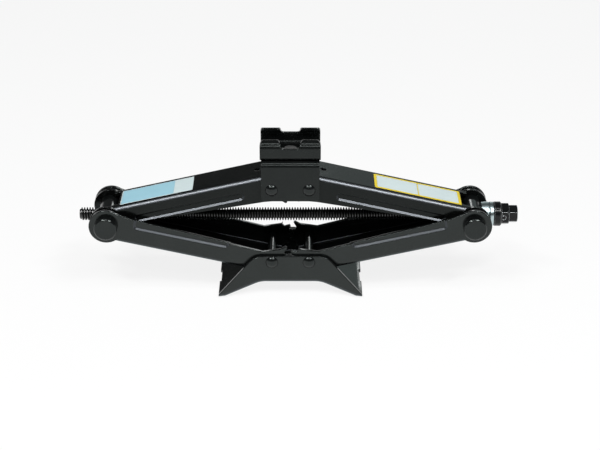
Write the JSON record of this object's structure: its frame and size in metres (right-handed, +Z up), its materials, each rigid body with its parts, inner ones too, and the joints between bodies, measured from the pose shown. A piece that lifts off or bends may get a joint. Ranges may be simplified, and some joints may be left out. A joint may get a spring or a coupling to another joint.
{
  "type": "scissor jack",
  "caption": "Black scissor jack: nested stamped arms with geared ends between a splayed foot and a notched load saddle, spread by a lead screw with a hexagonal drive end.",
  "frame": {"origin": "on the ground under the middle of the foot, midway between the two base pivots", "axes": "+X along the lead screw towards its drive end, +Y to the back, +Z up"},
  "size_m": [0.4046, 0.0816, 0.1465],
  "materials": {
    "black_paint": "gloss",
    "black_steel": "gloss",
    "screw_steel": "oiled black",
    "zinc": "satin",
    "worn_steel": "dull, paint worn off"
  },
  "bodies": {
    "base": {"base_plate": "black_paint", "base_rivet_left": "black_steel", "base_rivet_right": "black_steel"},
    "lower_left": {"lower_arm_left": "black_paint"},
    "lower_right": {"lower_arm_right": "black_paint"},
    "upper_left": {"upper_arm_left": "black_paint"},
    "upper_right": {"upper_arm_right": "black_paint"},
    "head": {"head_bracket": "black_paint", "head_rivet_left": "black_steel", "head_rivet_right": "black_steel", "load_saddle": "black_paint", "saddle_rivet": "worn_steel"},
    "nut_block": {"nut_trunnion": "black_steel", "nut_cap_front": "black_steel", "nut_cap_back": "black_steel", "nut_spacer_front": "black_steel", "nut_spacer_back": "black_steel"},
    "bearing_block": {"bearing_trunnion": "black_steel", "bearing_cap_front": "black_steel", "bearing_cap_back": "black_steel", "bearing_spacer_front": "black_steel", "bearing_spacer_back": "black_steel", "thrust_ring": "zinc", "ball_cage": "zinc", "thrust_balls": "zinc"},
    "screw": {"lead_screw": "screw_steel", "drive_head": "screw_steel", "drive_pin": "screw_steel", "thrust_race": "zinc"}
  },
  "joints": [
    {"name": "lift", "type": "hinge", "parent": "base", "child": "lower_left", "pos_m": [-0.017, 0, 0.0325], "axis": [0, 1, 0], "range_deg": [-6.5, 42]},
    {"name": "lower_right_fold", "type": "hinge", "parent": "base", "child": "lower_right", "pos_m": [0.017, 0, 0.0325], "axis": [0, 1, 0], "range_deg": [-42, 6.5]},
    {"name": "upper_left_fold", "type": "hinge", "parent": "lower_left", "child": "upper_left", "pos_m": [-0.16815, 0, 0.06684], "axis": [0, 1, 0], "range_deg": [-84, 13]},
    {"name": "upper_right_fold", "type": "hinge", "parent": "lower_right", "child": "upper_right", "pos_m": [0.16815, 0, 0.06684], "axis": [0, 1, 0], "range_deg": [-13, 84]},
    {"name": "nut_level", "type": "hinge", "parent": "lower_left", "child": "nut_block", "pos_m": [-0.16815, 0, 0.06684], "axis": [0, 1, 0], "range_deg": [-42, 6.5]},
    {"name": "bearing_level", "type": "hinge", "parent": "lower_right", "child": "bearing_block", "pos_m": [0.16815, 0, 0.06684], "axis": [0, 1, 0], "range_deg": [-6.5, 42]},
    {"name": "head_level", "type": "hinge", "parent": "upper_left", "child": "head", "pos_m": [-0.017, 0, 0.10118], "axis": [0, 1, 0], "range_deg": [-6.5, 42]},
    {"name": "screw_spin", "type": "hinge", "parent": "bearing_block", "child": "screw", "pos_m": [0.16815, 0, 0.06684], "axis": [1, 0, 0], "range_deg": [-16142, 2499]}
  ],
  "couplings": [
    {"joint": "lower_right_fold", "follows": "lift", "ratio": -1},
    {"joint": "upper_left_fold", "follows": "lift", "ratio": -2},
    {"joint": "upper_right_fold", "follows": "lift", "ratio": 2},
    {"joint": "nut_level", "follows": "lift", "ratio": -1},
    {"joint": "bearing_level", "follows": "lift", "ratio": 1},
    {"joint": "head_level", "follows": "lift", "ratio": 1},
    {"joint": "screw_spin", "follows": "lift", "ratio": -384.3}
  ]
}
